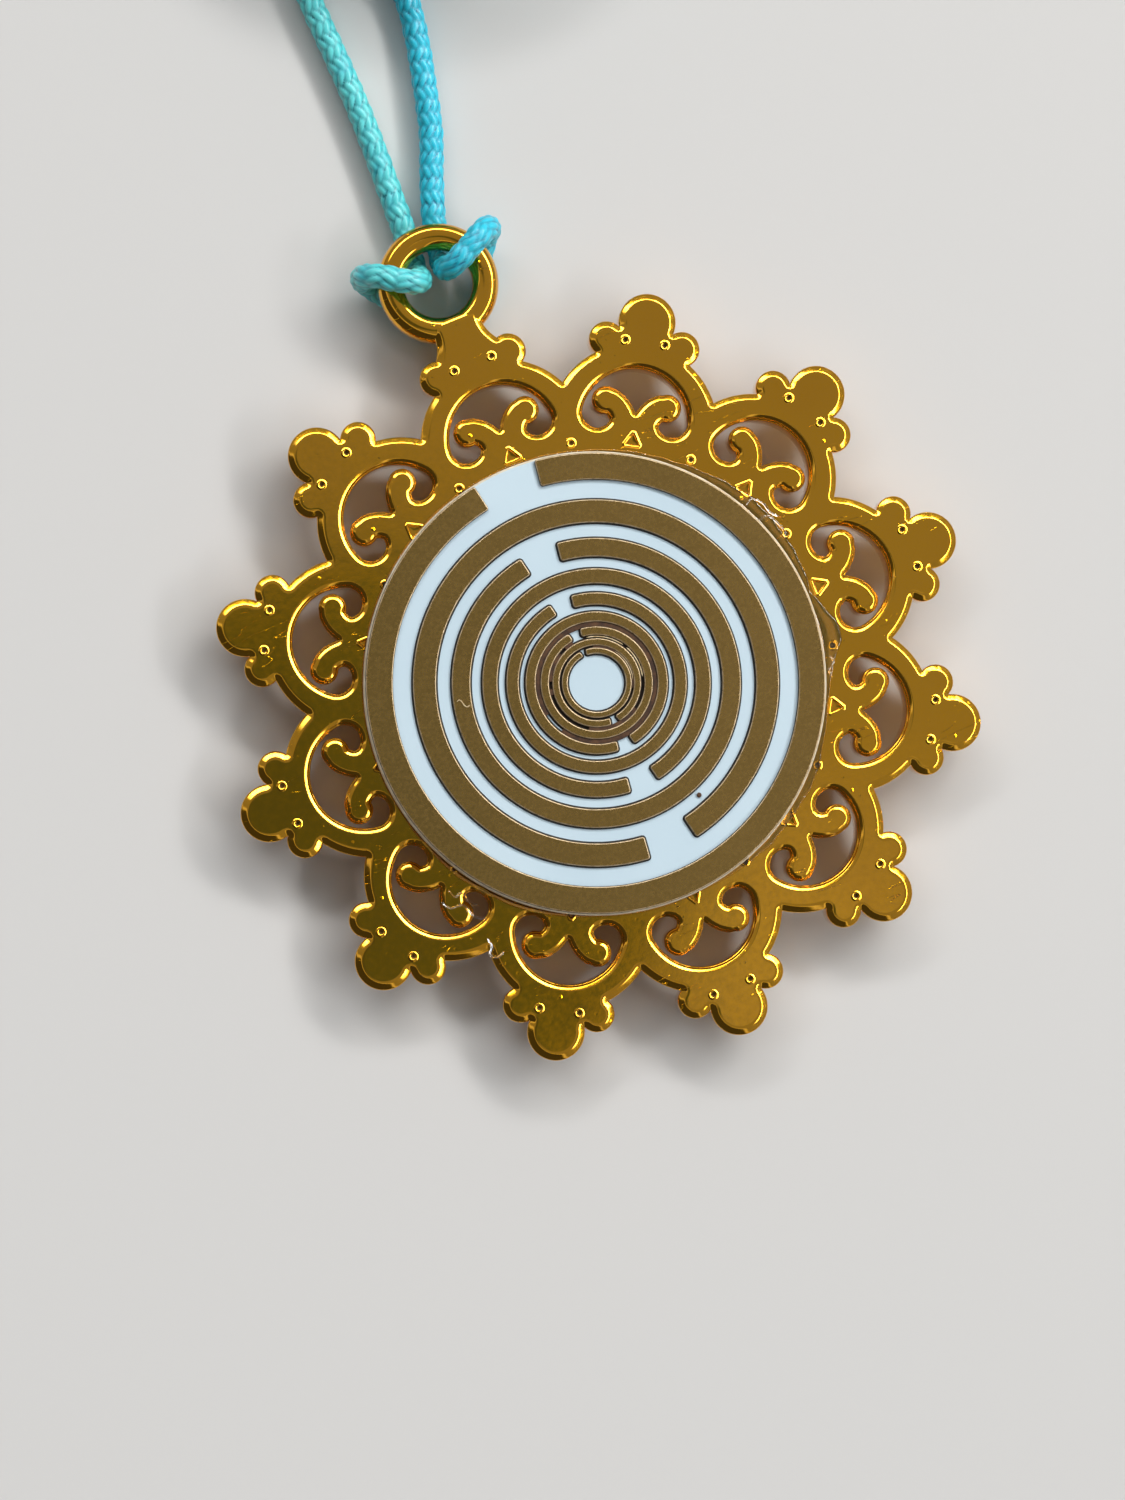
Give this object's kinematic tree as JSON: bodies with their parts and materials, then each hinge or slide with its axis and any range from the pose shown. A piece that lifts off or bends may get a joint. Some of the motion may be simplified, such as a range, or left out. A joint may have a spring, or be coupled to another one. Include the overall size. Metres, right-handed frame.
{
  "type": "amulet coin pendant on a knotted cord",
  "caption": "Cast rosette pendant with a pierced scrolled edge, an engraved round disc glued to its face, and a round eye hitched on a thin braided neck cord",
  "frame": {"origin": "on the surface the pendant lies on, under the middle of the pendant's length and width, the cord left out", "axes": "+Y from the rosette towards the eye, +Z out of the disc's face, +X to the right with the face towards the viewer and the eye up"},
  "size_m": [0.0568, 0.0836, 0.0081],
  "materials": {
    "gold_cast": "polished gold plating over cast metal",
    "glue": "clear glue, set, with bubbles",
    "disc_core": "cream white, satin",
    "disc_cap": "bronze brown, satin",
    "cord": "fine braid, turquoise",
    "tie": "thin woven band, off-white"
  },
  "bodies": {
    "cord": {"cord_hitch": "cord", "cord_left": "cord", "cord_right": "cord", "cord_coil_left": "cord", "cord_coil_right": "cord", "cord_end_left": "cord", "cord_end_right": "cord", "end_knot": "cord", "coil_tie": "tie"},
    "pendant": {"pendant_frame": "gold_cast", "glue_layer": "glue", "disc_core": "disc_core", "disc_band_1": "disc_cap", "disc_band_2": "disc_cap", "disc_band_3": "disc_cap", "disc_band_4": "disc_cap", "disc_band_5": "disc_cap", "disc_band_6": "disc_cap", "disc_band_7": "disc_cap", "disc_band_8": "disc_cap", "disc_band_9": "disc_cap"}
  },
  "joints": [
    {"name": "pendant_swing", "type": "hinge", "parent": "cord", "child": "pendant", "pos_m": [0, 0.02038, 0.00245], "axis": [0, 0, 1], "range_deg": [-45, 45]}
  ]
}
